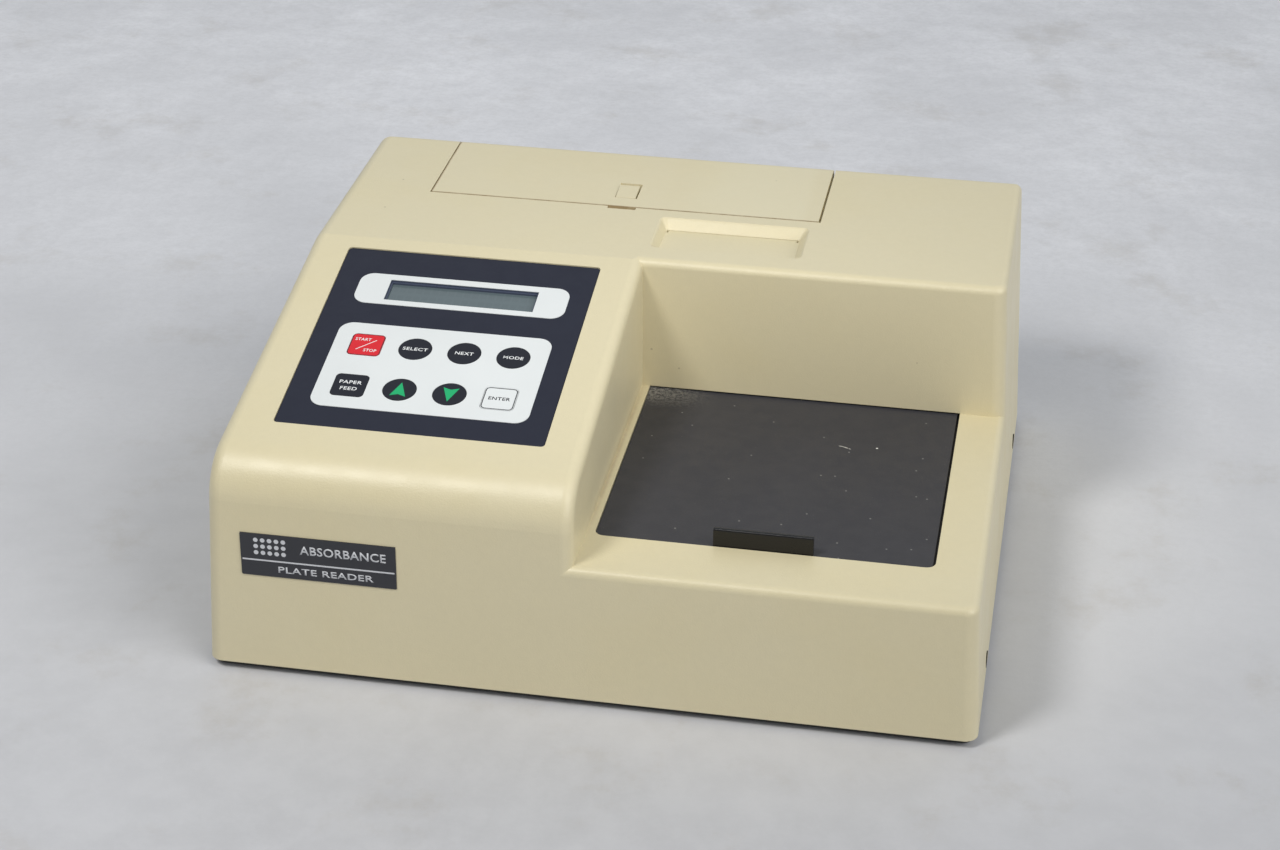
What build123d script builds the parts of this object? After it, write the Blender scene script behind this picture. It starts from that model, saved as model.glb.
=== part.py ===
from build123d import *
import os
from math import cos, sin, tan, radians

# Benchtop microplate reader. Millimetres, +Z up, floor at z = 0.
# X runs left to right along the front, Y runs front to back, and the origin
# is the middle of the footprint on the floor.

# ---------------------------------------------------------------- dimensions
WIDTH, DEPTH, HEIGHT = 320.0, 276.0, 127.5
SHELL_Z = 4.0                 # underside of the housing
DECK_Z = 65.0                 # low deck at the front right
BEND_Y = 20.0                 # rear wall of the low deck, start of the slope
RECESS_X = -4.8               # left wall of the low deck
SLOPE = radians(11.0)
SIDE_DRAFT, FRONT_DRAFT, REAR_DRAFT = 0.0532, 0.0339, 0.0219
WALL = 3.0
NOSE_R, EDGE_R, STEP_R, TOP_R = 21.0, 5.8, 5.0, 3.4

SCREWS = ((-85.0, 8.5), (98.0, 9.5))    # side screws, y and z

# deck opening and sliding cover
DECK_X0, DECK_X1, DECK_Y0 = -1.5, 137.2, -108.0
COVER_TOP, COVER_GAP, COVER_SIDE_GAP, COVER_REAR = 64.4, 0.4, 1.1, 26.0
COVER_LIP, LIP_Z = 2.4, 61.6         # the cover's lower lip, which runs on the rails
GRIP_X0, GRIP_X1, GRIP_H = 47.5, 88.2, 8.4

# keypad, measured down the slope from the bend line
PAD_X0, PAD_X1, PAD_S0, PAD_S1, PAD_DEEP = -134.9, -22.1, 8.3, 128.5, 1.8
KEY_X = (-110.0, -88.7, -67.5, -46.4)
KEY_S = (74.5, 101.5)
KEY_D, KEY_R, KEY_GAP = 14.0, 2.0, 0.2
LCD_X0, LCD_X1, LCD_S0, LCD_S1 = -110.7, -45.0, 28.8, 42.9
LCD_RIM, LCD_STEP = 1.3, 0.7  # dark frame round the display window, and the step inside it

# plate and its carriage
PLATE_X, PLATE_Y0, PLATE_W, PLATE_D = 67.85, -62.5, 127.76, 85.48
PLATE_FIT, PLATE_LEDGE = 0.4, 4.4    # play round the plate, and the ledge it rests on
NEST_Z, CARRIER_Z = 32.0, 28.0
ROD_DX, ROD_Z, ROD_R = 65.0, 20.0, 4.0
SCREW_X = -22.0
RUN = 0.05                    # radial running clearance of every bearing
READ_Y = 42.0                 # line of the twelve optical channels
CHANNELS, PITCH = 12, 9.0
BRIDGE_X0 = -42.0

# lamp, filter wheel and fibre
AXIS_Y, AXIS_Z, LAMP_X = 92.0, 52.0, -129.5
WHEEL_R, FILTER_RING, FILTERS = 26.0, 18.0, 6

# printer
LID_X0, LID_X1, LID_Y0 = -113.4, 65.8, 72.8
LID_THICK, LID_GAP, LID_SIDE_GAP = 2.6, 0.55, 1.1
LATCH_X, LATCH_W = -24.3, 9.2
HINGE_Y, HINGE_Z, HINGE_R = 132.9, 112.0, 2.6
ROLL_Y, ROLL_Z, ROLL_R = 102.0, 94.0, 23.0
PLATEN_Y, PLATEN_Z, PLATEN_R = 68.0, 106.0, 6.0
POCKET_Z, SLOT_Y0, SLOT_Y1 = 123.0, 58.9, 61.3

PANEL_Y = 130.0               # inner face of the rear connector panel
PORTS = ((-72.0, 17.0), (-45.5, 24.0))
FAN_X, FAN_Z, FAN_R = -84.0, 80.0, 15.2
SWITCH_Y, SWITCH_Z, SWITCH_TILT = 125.5, 33.0, 9.0


# ------------------------------------------------------------------- helpers
def block(x0, x1, y0, y1, z0, z1):
    """Box from its six faces."""
    return Pos((x0 + x1) / 2, (y0 + y1) / 2, (z0 + z1) / 2) * Box(x1 - x0, y1 - y0, z1 - z0)


def rod_x(x0, x1, y, z, r):
    """Round bar along X."""
    return Pos((x0 + x1) / 2, y, z) * Rot(0, 90, 0) * Cylinder(r, x1 - x0)


def rod_y(y0, y1, x, z, r):
    """Round bar along Y."""
    return Pos(x, (y0 + y1) / 2, z) * Rot(90, 0, 0) * Cylinder(r, y1 - y0)


def rod_z(z0, z1, x, y, r):
    """Round bar along Z."""
    return Pos(x, y, (z0 + z1) / 2) * Cylinder(r, z1 - z0)


def edges_where(part, test):
    """Edges picked by their start, end and middle points."""
    return [e for e in part.edges() if test(e @ 0, e @ 1, e @ 0.5)]


def from_side(side, x0, x1, y, z, r):
    """Round bar along X on the left (-1) or right (1) side."""
    return rod_x(*sorted((side * x0, side * x1)), y, z, r)


def side_block(side, x0, x1, *rest):
    """Box on the left (-1) or right (1) side."""
    return block(*sorted((side * x0, side * x1)), *rest)


def upright(a, c):
    return abs((c - a).normalized().Z) > 0.9


def slope_plate(x0, x1, s0, s1, n0, n1, radius=0.0):
    """Plate lying in the sloped face: s down the slope, n out of it."""
    plane = Plane(origin=(0, BEND_Y, HEIGHT), x_dir=(1, 0, 0), z_dir=(0, -sin(SLOPE), cos(SLOPE)))
    outline = RectangleRounded(x1 - x0, s1 - s0, radius) if radius else Rectangle(x1 - x0, s1 - s0)
    return plane * Pos((x0 + x1) / 2, -(s0 + s1) / 2, n0) * extrude(outline, n1 - n0)


def slope_disc(x, s, n0, n1, r):
    plane = Plane(origin=(0, BEND_Y, HEIGHT), x_dir=(1, 0, 0), z_dir=(0, -sin(SLOPE), cos(SLOPE)))
    return plane * Pos(x, -s, (n0 + n1) / 2) * Cylinder(r, n1 - n0)


def lcd_plate(margin, n0, n1):
    """Plate with the outline of the display window, larger by a margin all round."""
    return slope_plate(LCD_X0 - margin, LCD_X1 + margin, LCD_S0 - margin, LCD_S1 + margin, n0, n1)


def save(node, *solids):
    """Write one named piece, made of one or more separate solids."""
    shape = solids[0] if len(solids) == 1 else Compound(children=list(solids))
    shape.label = node
    export_step(shape, os.path.join("parts", node + ".step"))


# ------------------------------------------------------------------- housing
def front_y(z, inset):
    return -DEPTH / 2 + FRONT_DRAFT * (z - SHELL_Z) + inset


def rear_y(z, inset):
    return DEPTH / 2 - REAR_DRAFT * (z - SHELL_Z) - inset


def side_x(z, inset):
    return WIDTH / 2 - SIDE_DRAFT * (z - SHELL_Z) - inset


def drafted(outline, inset, bottom):
    """Side outline drawn across the width between the leaning side walls."""
    bar = extrude(outline, WIDTH, both=True)
    ends = Polyline(
        (-side_x(bottom, inset), bottom),
        (side_x(bottom, inset), bottom),
        (side_x(HEIGHT, inset), HEIGHT),
        (-side_x(HEIGHT, inset), HEIGHT),
        close=True,
    )
    return bar & extrude(make_face(Plane.XZ * ends), DEPTH, both=True)


def full_body(inset, bottom):
    """Whole outline with the sloped front and the rounded nose."""
    top = HEIGHT - inset
    line_z = HEIGHT - inset / cos(SLOPE)
    k = tan(SLOPE)
    nose_z = line_z - k * (BEND_Y + DEPTH / 2 - inset + FRONT_DRAFT * SHELL_Z)
    nose_z /= 1 - k * FRONT_DRAFT
    nose = (front_y(nose_z, inset), nose_z)
    outline = Polyline(
        (front_y(bottom, inset), bottom),
        nose,
        (BEND_Y - (line_z - top) / k, top),
        (rear_y(top, inset), top),
        (rear_y(bottom, inset), bottom),
        close=True,
    )
    face = make_face(Plane.YZ * outline)
    corner = face.vertices().sort_by_distance((0, *nose))[0]
    return drafted(fillet(corner, NOSE_R - inset), inset, bottom)


def rear_body():
    """Upper rear part to the right of the sloped block."""
    outline = Polyline(
        (BEND_Y, SHELL_Z),
        (BEND_Y, HEIGHT),
        (rear_y(HEIGHT, 0), HEIGHT),
        (rear_y(SHELL_Z, 0), SHELL_Z),
        close=True,
    )
    return drafted(make_face(Plane.YZ * outline), 0, SHELL_Z)


def outer_form():
    left = full_body(0, SHELL_Z) & block(-200, RECESS_X, -200, 200, 0, 200)
    left = fillet(edges_where(left, lambda a, c, m: (
        (m.X < -150 and max(a.Z, c.Z) > SHELL_Z + 1)
        or (m.Y > 130 and m.Z > HEIGHT - 0.1)
    )), EDGE_R)
    left = fillet(edges_where(left, lambda a, c, m: (
        abs(m.X - RECESS_X) < 0.01 and m.Y < BEND_Y - 1 and m.Z > SHELL_Z + 1
    )), STEP_R)
    rear = rear_body() & block(-40, 200, -200, 200, 0, 200)
    rear = fillet(edges_where(rear, lambda a, c, m: m.Y > 130 and m.Z > HEIGHT - 0.1), EDGE_R)
    rear = fillet(edges_where(rear, lambda a, c, m: m.X > 150 and upright(a, c) and m.Y < 30), EDGE_R)
    rear = fillet(edges_where(rear, lambda a, c, m: (
        m.Z > HEIGHT - 0.1 and m.Y < 125 and m.X > -39
    )), TOP_R)
    slab = full_body(0, SHELL_Z) & block(-60, 200, -200, 200, 0, DECK_Z)
    slab = fillet(edges_where(slab, lambda a, c, m: m.X > 150 and upright(a, c)), EDGE_R)
    slab = fillet(edges_where(slab, lambda a, c, m: (
        m.Z > DECK_Z - 0.1 and (m.Y < -130 or m.X > 150) and m.Y < 125
    )), TOP_R)
    return left + rear + slab


def inner_form():
    room = full_body(WALL, SHELL_Z - 1)
    room -= block(RECESS_X - WALL, 300, -300, BEND_Y + WALL, DECK_Z - WALL, 200)
    return fillet(edges_where(room, lambda a, c, m: (
        upright(a, c) and abs(m.X) > 140 and abs(m.Y) > 120
    )), EDGE_R - WALL)


def pocket_form():
    """Pocket with wide sloping sides where the printed strip comes out."""
    low = Pos(28.75, 48.2, POCKET_Z) * RectangleRounded(60.7, 26.2, 1.0)
    high = Pos(29.15, 49.4, HEIGHT - 0.6) * RectangleRounded(66.3, 30.4, 2.4)
    top = Pos(29.15, 49.4, HEIGHT + 0.6) * RectangleRounded(69.5, 33.0, 4.0)
    return loft([low, high]) + loft([high, top])


def make_housing():
    body = outer_form() - inner_form()
    # thickened seats under the printer lid and round the paper pocket
    body += block(-119, 72, 67, 131, 120, 125) + block(-6, 66, 30, 69, 118, 125)
    # hinge lugs
    body += block(-119, -113.9, 126, 134, 106, 121) + block(67.0, 72, 126, 134, 106, 121)
    # deck opening, running back under the rear wall as a slot
    mouth = block(DECK_X0, DECK_X1, DECK_Y0, BEND_Y + WALL + 1, DECK_Z - WALL - 1, DECK_Z + 0.3)
    body -= fillet(edges_where(mouth, lambda a, c, m: upright(a, c) and m.Y < 0), 4.0)
    # keypad recess and the windows through it
    body -= slope_plate(PAD_X0 - 0.3, PAD_X1 + 0.3, PAD_S0 - 0.3, PAD_S1 + 0.3, -PAD_DEEP, 2, 1.8)
    body -= lcd_plate(LCD_RIM + 0.1, -6, 0)
    for x in KEY_X:
        for s in KEY_S:
            body -= slope_disc(x, s, -6, 0, 3.0)
    # paper pocket and its slot
    body -= pocket_form()
    body -= block(-1.2, 58.7, SLOT_Y0, SLOT_Y1, 110, POCKET_Z + 0.5)
    # lid opening with its finger notch, ledge and latch slot
    gap_x0, gap_x1 = LID_X0 - LID_GAP, LID_X1 + LID_SIDE_GAP
    lid_gap = block(gap_x0, gap_x1, LID_Y0 - LID_GAP, 150, 124.6, 140)
    lid_gap += block(gap_x0, gap_x1, 128.5, 150, HINGE_Z - 3.4, 130)
    lid_gap += block(LID_X0 + 3, LID_X1 - 2, LID_Y0 + 3, 129, 100, 126)
    lid_gap += block(-30.5, -17.5, LID_Y0 - 2.8, LID_Y0 + 1, 124.6, 140)
    lid_gap += block(-31, -17, 67.5, 76, 119, 124.4)
    body -= lid_gap
    body -= rod_x(-119.5, 72.5, HINGE_Y, HINGE_Z, 1.25)
    # connector opening at the rear and holes for the side screws
    body -= block(-146, -18, 128, 145, 14, 100)
    for side in (-1, 1):
        for y, z in SCREWS:
            body -= from_side(side, 150, 165, y, z, 1.5) + from_side(side, 158.6, 165, y, z, 3.6)
    # shallow seat for the nameplate
    body -= nameplate_plane() * Box(65.2, 19.6, 1.0)
    return body


def nameplate_plane():
    z = 57.5
    origin = (-109.8, front_y(z, 0), z)
    return Plane(origin=origin, x_dir=(1, 0, 0), z_dir=(0, -cos(FRONT_DRAFT), sin(FRONT_DRAFT)))


os.makedirs("parts", exist_ok=True)

save("top_housing", make_housing())
save("nameplate", nameplate_plane() * Pos(0, 0, 0.0) * extrude(RectangleRounded(65.2, 19.6, 0.6), 0.4)
     + nameplate_plane() * Pos(0, 0, -0.25) * Box(65.2, 19.6, 0.5))

# ---------------------------------------------------------------------- base
tray = block(-158.2, 158.2, -136.2, 136.2, 1.8, SHELL_Z)
tray = fillet(edges_where(tray, lambda a, c, m: upright(a, c)), 5.0)
for side in (-1, 1):
    wall = side_block(side, 153.8, 155.8, -125, 125, SHELL_Z, 15)
    for y, z in SCREWS:
        wall -= from_side(side, 150, 160, y, z, 1.5)
    tray += wall
for x in (-144, -96, -48):
    for y in (-116, -24):
        tray += rod_z(SHELL_Z, 12, x, y, 3.5)
for x in (-120, -20, 60, 120):
    tray -= block(x - 1.5, x + 1.5, 60, 110, 1, 5)
save("base_tray", tray)

save("feet", *[rod_z(0, 1.8, sx * 138, sy * 114, 9) for sx in (-1, 1) for sy in (-1, 1)])

screws = []
for side in (-1, 1):
    for y, z in SCREWS:
        screw = from_side(side, 158.6, 160.0, y, z, 3.6) + from_side(side, 153.8, 158.7, y, z, 1.5)
        screw -= side_block(side, 159.4, 162, y - 2.4, y + 2.4, z - 0.4, z + 0.4)
        screw -= side_block(side, 159.4, 162, y - 0.4, y + 0.4, z - 2.4, z + 2.4)
        screws.append(screw)
save("side_screws", *screws)

panel = block(-147, -13, PANEL_Y, PANEL_Y + 2, SHELL_Z, 106)
panel -= block(-145.5, -118.5, 120, 140, 20, 46)
panel -= block(-108.5, -93.5, 120, 140, 22, 44)
for cx, w in PORTS:
    panel -= block(cx - w / 2 - 0.5, cx + w / 2 + 0.5, 120, 140, 22, 33)
for ring, count in ((5, 6), (9, 12), (13, 18)):
    for i in range(count):
        hole = Pos(FAN_X, 0, FAN_Z) * Rot(0, 360 * i / count, 0) * Pos(ring, PANEL_Y + 1, 0)
        panel -= hole * Rot(90, 0, 0) * Cylinder(1.5, 6)
save("rear_panel", panel)

# -------------------------------------------------------------------- keypad
FILM = -0.4                   # top of the dark film, below the slope surface
overlay = slope_plate(PAD_X0, PAD_X1, PAD_S0, PAD_S1, -PAD_DEEP, FILM, 1.6)
overlay -= lcd_plate(LCD_RIM + 0.1, -3, 1)
white = slope_plate(-124.3, -31.9, 60.2, 115.7, FILM, -0.15, 6.0)
bezel = slope_plate(-124.2, -31.3, 25.2, 46.1, FILM, -0.15, 6.0)
bezel -= lcd_plate(0, -3.5, 1)

KEYS = (
    ("start_stop", 0, 0, True), ("select", 1, 0, False), ("next", 2, 0, False), ("mode", 3, 0, False),
    ("paper_feed", 0, 1, True), ("up", 1, 1, False), ("down", 2, 1, False), ("enter", 3, 1, True),
)
domes = []
for name, col, row, square in KEYS:
    x, s = KEY_X[col], KEY_S[row]
    half = KEY_D / 2
    gap = half + KEY_GAP
    if square:
        cap = slope_plate(x - half, x + half, s - half, s + half, -1.2, -0.1, KEY_R)
        hole = slope_plate(x - gap, x + gap, s - gap, s + gap, -3, 1, KEY_R + KEY_GAP)
    else:
        cap = slope_disc(x, s, -1.2, -0.1, half)
        hole = slope_disc(x, s, -3, 1, gap)
    overlay -= hole
    white -= hole
    save("key_" + name, cap + slope_disc(x, s, -3.2, -1.2, 2.2))
    domes.append(slope_disc(x, s, -4.6, -3.8, 3.5))

save("keypad_overlay", overlay)
save("key_panel", white)
save("lcd_bezel", bezel)
save("key_domes", *domes)
board = slope_plate(-124, -32, 59, 117, -6.2, -4.6)
board += slope_plate(-122, -121.2, 62, 114, -4.6, -3.0) + slope_plate(-34.3, -33.5, 62, 114, -4.6, -3.0)
board += slope_plate(-60, -48, 80, 92, -8, -6.2)
save("keypad_board", board)
module = slope_plate(-118, -38, 22, 49, -9, -3.0) + lcd_plate(LCD_RIM, -3.1, FILM)
module -= lcd_plate(0, -1.3, 1) + lcd_plate(-LCD_STEP, -5, -1)
module += slope_plate(-118, -38, 20.5, 49.5, -10.6, -9)
save("lcd_module", module)
save("lcd_glass", lcd_plate(-LCD_STEP, -5, -2.2))

# -------------------------------------------------------------- sliding cover
x0, x1 = DECK_X0 + COVER_GAP, DECK_X1 - COVER_SIDE_GAP
cover = block(x0, x1, DECK_Y0 + COVER_GAP, COVER_REAR, LIP_Z, COVER_TOP)
cover = fillet(edges_where(cover, lambda a, c, m: upright(a, c) and m.Y < -100), 3.6)
cover += block(x0 - COVER_LIP, x1 + COVER_LIP, DECK_Y0 - 2, COVER_REAR, LIP_Z - 1.6, LIP_Z)
save("slide_cover", cover)
grip = block(GRIP_X0, GRIP_X1, DECK_Y0 + 0.4, DECK_Y0 + 2.6, COVER_TOP, DECK_Z + GRIP_H - 0.4)
grip = fillet(edges_where(grip, lambda a, c, m: m.Z > DECK_Z + GRIP_H - 0.5 and abs(c.X - a.X) > 1), 0.8)
grip += block(GRIP_X0 + 3, GRIP_X1 - 3, DECK_Y0 + 2.6, DECK_Y0 + 4.2, COVER_TOP, COVER_TOP + 1.2)
save("cover_grip", grip)
rails = []
for edge, side in ((x0 - COVER_LIP, -1), (x1 + COVER_LIP, 1)):
    foot = sorted((edge + side * 2.6, edge - side * 5.4))
    fence = sorted((edge + side * 0.3, edge + side * 2.6))
    rails.append(block(*foot, -112, 133, 57.2, 59.8) + block(*fence, -112, 133, 59.8, 62))
save("cover_rails", *rails)

# ------------------------------------------------------------- plate carriage
left_x, right_x = PLATE_X - 68.5, PLATE_X + 68.5
carrier = block(left_x, right_x, PLATE_Y0 - 48, PLATE_Y0 + 48, CARRIER_Z, 37)
for margin, floor_z in ((PLATE_FIT, NEST_Z), (-PLATE_LEDGE, 20)):
    half_w, half_d = PLATE_W / 2 + margin, PLATE_D / 2 + margin
    carrier -= block(PLATE_X - half_w, PLATE_X + half_w, PLATE_Y0 - half_d, PLATE_Y0 + half_d, floor_z, 40)
carrier -= block(PLATE_X - 12, PLATE_X + 12, PLATE_Y0 - 49, PLATE_Y0 - 42, NEST_Z + 1, 40)
for side in (-1, 1):
    for y in (PLATE_Y0 - 32, PLATE_Y0 + 32):
        x = PLATE_X + side * ROD_DX
        lug = block(x - 6.3, x + 6.3, y - 9, y + 9, 13.5, CARRIER_Z)
        carrier += lug - rod_y(y - 10, y + 10, x, ROD_Z, ROD_R + RUN)
save("plate_carrier", carrier)
clip = block(PLATE_X + 63.3, PLATE_X + 67.0, PLATE_Y0 + 34, PLATE_Y0 + 42.5, 37, 38.2)
clip += block(PLATE_X + 62.9, PLATE_X + 64.1, PLATE_Y0 + 36, PLATE_Y0 + 40.5, 37, 39.5)
save("plate_clamp", clip)

rods = [rod_y(-124, 130, PLATE_X + s * ROD_DX, ROD_Z, ROD_R) for s in (-1, 1)]
save("guide_rods", *rods)
brackets = []
for y, xl in ((-124, -1.0), (124, -31.0)):
    b = block(xl, 138, y, y + 6, SHELL_Z, 27)
    if y < 0:
        b += block(xl, 138, y, y + 14, SHELL_Z, 7)
    for s in (-1, 1):
        b -= rod_y(-140, 140, PLATE_X + s * ROD_DX, ROD_Z, ROD_R)
    b -= rod_y(100, 140, SCREW_X, ROD_Z, 2.5 + RUN)
    brackets.append(b)
save("rod_brackets", *brackets)

lead_screw = rod_y(-95.6, 123.6, SCREW_X, ROD_Z, ROD_R) + rod_y(-109, 129.5, SCREW_X, ROD_Z, 2.5)
save("lead_screw", lead_screw)
nut = block(SCREW_X - 8, SCREW_X + 8, PLATE_Y0 - 8, PLATE_Y0 + 8, 11, CARRIER_Z)
nut += block(SCREW_X - 8, left_x, PLATE_Y0 - 14, PLATE_Y0 + 14, CARRIER_Z, 34)
nut -= rod_y(PLATE_Y0 - 9, PLATE_Y0 + 9, SCREW_X, ROD_Z, ROD_R + RUN)
save("carriage_nut", nut)
motor = block(SCREW_X - 16, SCREW_X + 16, -128, -96, SHELL_Z, 36)
motor = chamfer(edges_where(motor, lambda a, c, m: abs((c - a).normalized().Y) > 0.9), 3.0)
motor -= rod_y(-110, -95, SCREW_X, ROD_Z, 2.5 + RUN)
save("carriage_motor", motor)

# ---------------------------------------------------------------------- optics
first = PLATE_X - PITCH * (CHANNELS - 1) / 2
bridge = block(BRIDGE_X0, 146, READ_Y - 6, READ_Y + 6, 47.8, 56.5)
bridge += block(BRIDGE_X0, BRIDGE_X0 + 7, READ_Y - 6, READ_Y + 6, SHELL_Z, 47.8)
bridge += block(139.5, 146, READ_Y - 6, READ_Y + 6, SHELL_Z, 47.8)
bridge -= block(BRIDGE_X0 - 1, 124, READ_Y - 2, READ_Y + 2, 51.2, 55)
lenses = []
eyes = []
for i in range(CHANNELS):
    x = first + PITCH * i
    bridge -= rod_z(40, 52, x, READ_Y, 2.5)
    lenses.append(rod_z(47.8, 50.5, x, READ_Y, 2.5))
    eyes.append(rod_z(17.6, 22, x, READ_Y, 2.8))
save("optics_bridge", bridge)
save("channel_lenses", *lenses)
detector = block(12.5, 123.5, READ_Y - 10, READ_Y + 10, 16, 17.6)
for x in (18, 118):
    detector += rod_z(SHELL_Z, 16, x, READ_Y - 6, 3) + rod_z(SHELL_Z, 16, x, READ_Y + 6, 3)
save("detector_board", detector, *eyes)

house = block(-147, -112, AXIS_Y - 17, AXIS_Y + 17, SHELL_Z, 67)
house -= block(-145, -114, AXIS_Y - 15, AXIS_Y + 15, 34, 65)
house -= block(-145, -114, AXIS_Y - 15, AXIS_Y + 15, SHELL_Z - 1, 31)
house += rod_x(-112, -84, AXIS_Y, AXIS_Z, 11)
house -= rod_x(-115, -83, AXIS_Y, AXIS_Z, 9)
for i in range(5):
    y = AXIS_Y - 12 + 6 * i
    house -= block(-140, -120, y - 1, y + 1, 60, 80)
save("lamp_house", house)
bulb = rod_z(34, 41, LAMP_X, AXIS_Y, 6) + rod_z(41, 56, LAMP_X, AXIS_Y, 4.5)
bulb += Pos(LAMP_X, AXIS_Y, 56) * Sphere(4.5)
save("lamp", bulb)
lens = rod_x(-100, -94, AXIS_Y, AXIS_Z, 9)
lens = chamfer(edges_where(lens, lambda a, c, m: m.X > -94.1 and (a - c).length < 0.01), 1.6, 4.5)
save("condenser_lens", lens)

wheel_z = AXIS_Z - FILTER_RING
wheel = rod_x(-78, -74, AXIS_Y, wheel_z, WHEEL_R) + rod_x(-74.1, -71, AXIS_Y, wheel_z, 6)
glasses = []
for i in range(FILTERS):
    spin = Pos(0, AXIS_Y, wheel_z) * Rot(360 * i / FILTERS, 0, 0)
    wheel -= spin * rod_x(-80, -70, 0, FILTER_RING, 6)
    glasses.append(spin * rod_x(-77.5, -74.5, 0, FILTER_RING, 6))
wheel -= rod_x(-79, -70, AXIS_Y, wheel_z, 2.5 + RUN)
save("filter_wheel", wheel)
save("filter_glasses", *glasses)
gear_motor = rod_x(-70.6, -50, AXIS_Y, wheel_z, 12) + rod_x(-79.5, -70, AXIS_Y, wheel_z, 2.5)
gear_motor += block(-64, -54, AXIS_Y - 8, AXIS_Y + 8, SHELL_Z, wheel_z - 8)
save("filter_motor", gear_motor)

path = Spline(
    (-72.6, AXIS_Y, AXIS_Z),
    (-64, AXIS_Y, AXIS_Z),
    (BRIDGE_X0 - 8, READ_Y, AXIS_Z + 1),
    (BRIDGE_X0, READ_Y, AXIS_Z + 1),
    tangents=((1, 0, 0), (1, 0, 0)),
)
fibre = sweep(Plane(origin=path @ 0, z_dir=path % 0) * Circle(1.8), path=path)
fibre += rod_x(BRIDGE_X0 - 0.1, 122, READ_Y, AXIS_Z + 1, 1.7)
collar = rod_x(-72.6, -66, AXIS_Y, AXIS_Z, 5) - rod_x(-73, -65, AXIS_Y, AXIS_Z, 1.9)
save("fibre_bundle", fibre, collar)

# --------------------------------------------------------------------- printer
frame = block(-4, -2.4, 51, 128, 66.5, 120) + block(60.4, 62, 51, 128, 66.5, 120)
frame += block(-4, 62, 74, 128, 66.5, 68)
frame += block(-4, 62, 75, 76.6, 66.5, 98) + block(-4, 62, 126.4, 128, 66.5, 116)
frame -= block(-5, 70, 50, 75, 118, 121)
frame -= rod_x(-5, 63, PLATEN_Y, PLATEN_Z, 2 + RUN)
frame -= rod_x(-5, 63, ROLL_Y, ROLL_Z, 3)
save("printer_frame", frame)
save("print_head", block(-2.4, 60.4, 51, 61.2, 96, 114) + block(2, 56, 61.2, 61.7, 104, 108))
platen = rod_x(-1.6, 59.6, PLATEN_Y, PLATEN_Z, PLATEN_R) + rod_x(-12, 61.9, PLATEN_Y, PLATEN_Z, 2)
save("platen_roller", platen)
drive = rod_x(-24, -4, PLATEN_Y, PLATEN_Z, 10) - rod_x(-12.6, -3, PLATEN_Y, PLATEN_Z, 2 + RUN)
save("printer_motor", drive)
save("roll_spindle", rod_x(-2.4, 60.4, ROLL_Y, ROLL_Z, 5.95) + rod_x(-4, 62, ROLL_Y, ROLL_Z, 3))
save("paper_roll", rod_x(0.3, 57.8, ROLL_Y, ROLL_Z, ROLL_R) - rod_x(0, 58, ROLL_Y, ROLL_Z, 5.95 + RUN))
tear = block(-0.3, 57.8, SLOT_Y0, SLOT_Y1 - 0.5, 118.6, POCKET_Z - 0.05)
save("tear_bar", tear)

# ------------------------------------------------------------------------- lid
lid_zone = block(LID_X0, LID_X1, LID_Y0, 145, 124.9, 135)
lid_zone += block(LID_X0, LID_X1, 128.9, 145, HINGE_Z + 0.4, 135)
skin = outer_form() - full_body(LID_THICK, SHELL_Z)
lid = lid_zone & skin
lid -= block(-29.2, -19.0, 82.0, 98.0, 120, 130)
lid += rod_x(LID_X0 + 0.3, LID_X1 - 0.3, HINGE_Y, HINGE_Z, HINGE_R)
lid -= rod_x(LID_X0 - 1, LID_X1 + 1, HINGE_Y, HINGE_Z, 1.25 + RUN)
for x in (-36, -14):
    lid += block(x - 1.2, x + 1.2, 80, 100, 123.0, 125)
save("printer_lid", lid)
save("lid_hinge_pin", rod_x(-119, 72, HINGE_Y, HINGE_Z, 1.25))
side = [(82.2, 123.6), (82.2, 127.55), (83.4, 127.7), (94.0, 128.4), (94.9, 127.9), (94.9, 123.6)]
latch = extrude(make_face(Plane.YZ * Polyline(*side, close=True)), LATCH_W / 2, both=True)
latch = Pos(LATCH_X, 0, 0) * latch
latch += block(-30, -18, 70.2, 98.5, 122.0, 123.6)
latch += block(-34.5, -15.5, 84, 94, 122.0, 123.0)
save("lid_latch", latch)

# ----------------------------------------------------------------- electronics
pcb = block(-150, -42, -122, -18, 12, 13.6)
chips = ((-130, -100, 26, 14, 4), (-90, -100, 18, 18, 3), (-60, -104, 12, 26, 3), (-132, -60, 12, 30, 3),
         (-100, -62, 30, 10, 4), (-60, -60, 16, 16, 12), (-80, -34, 40, 6, 9), (-128, -32, 14, 8, 10))
for cx, cy, w, d, h in chips:
    pcb += block(cx - w / 2, cx + w / 2, cy - d / 2, cy + d / 2, 13.6, 13.6 + h)
save("main_board", pcb)
core = block(-142, -94, 4, 50, SHELL_Z, 44)
core += block(-137, -99, -2, 56, 12, 36)
save("transformer", core)

inlet = block(-147, -117, PANEL_Y + 2, PANEL_Y + 4, 17, 49) + block(-145.5, -118.5, 112, PANEL_Y + 5, 20, 46)
inlet -= block(-143, -121, 118, 140, 28, 44)
inlet += block(-142.5, -121.5, 118, PANEL_Y + 4.5, 21.5, 26.5)
for px, pz in ((-132, 39), (-138, 33), (-126, 33)):
    inlet += block(px - 1.2, px + 1.2, 117, 130, pz - 2, pz + 2)
save("power_inlet", inlet)
switch = block(-110, -92, PANEL_Y + 2, PANEL_Y + 3.5, 20, 46) + block(-108.5, -93.5, 114, PANEL_Y + 2, 22, 44)
switch -= block(-106.5, -95.5, 119, 140, 24, 42)
switch += rod_x(-106.5, -95.5, SWITCH_Y, SWITCH_Z, 1.0)
save("power_switch", switch)
rocker = block(-106.1, -95.9, 0, 8.5, -6.5, 6.5) - rod_x(-108, -94, 27, 0, 20)
rocker += rod_x(-106.1, -95.9, 0, 0, 2.4)
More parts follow.
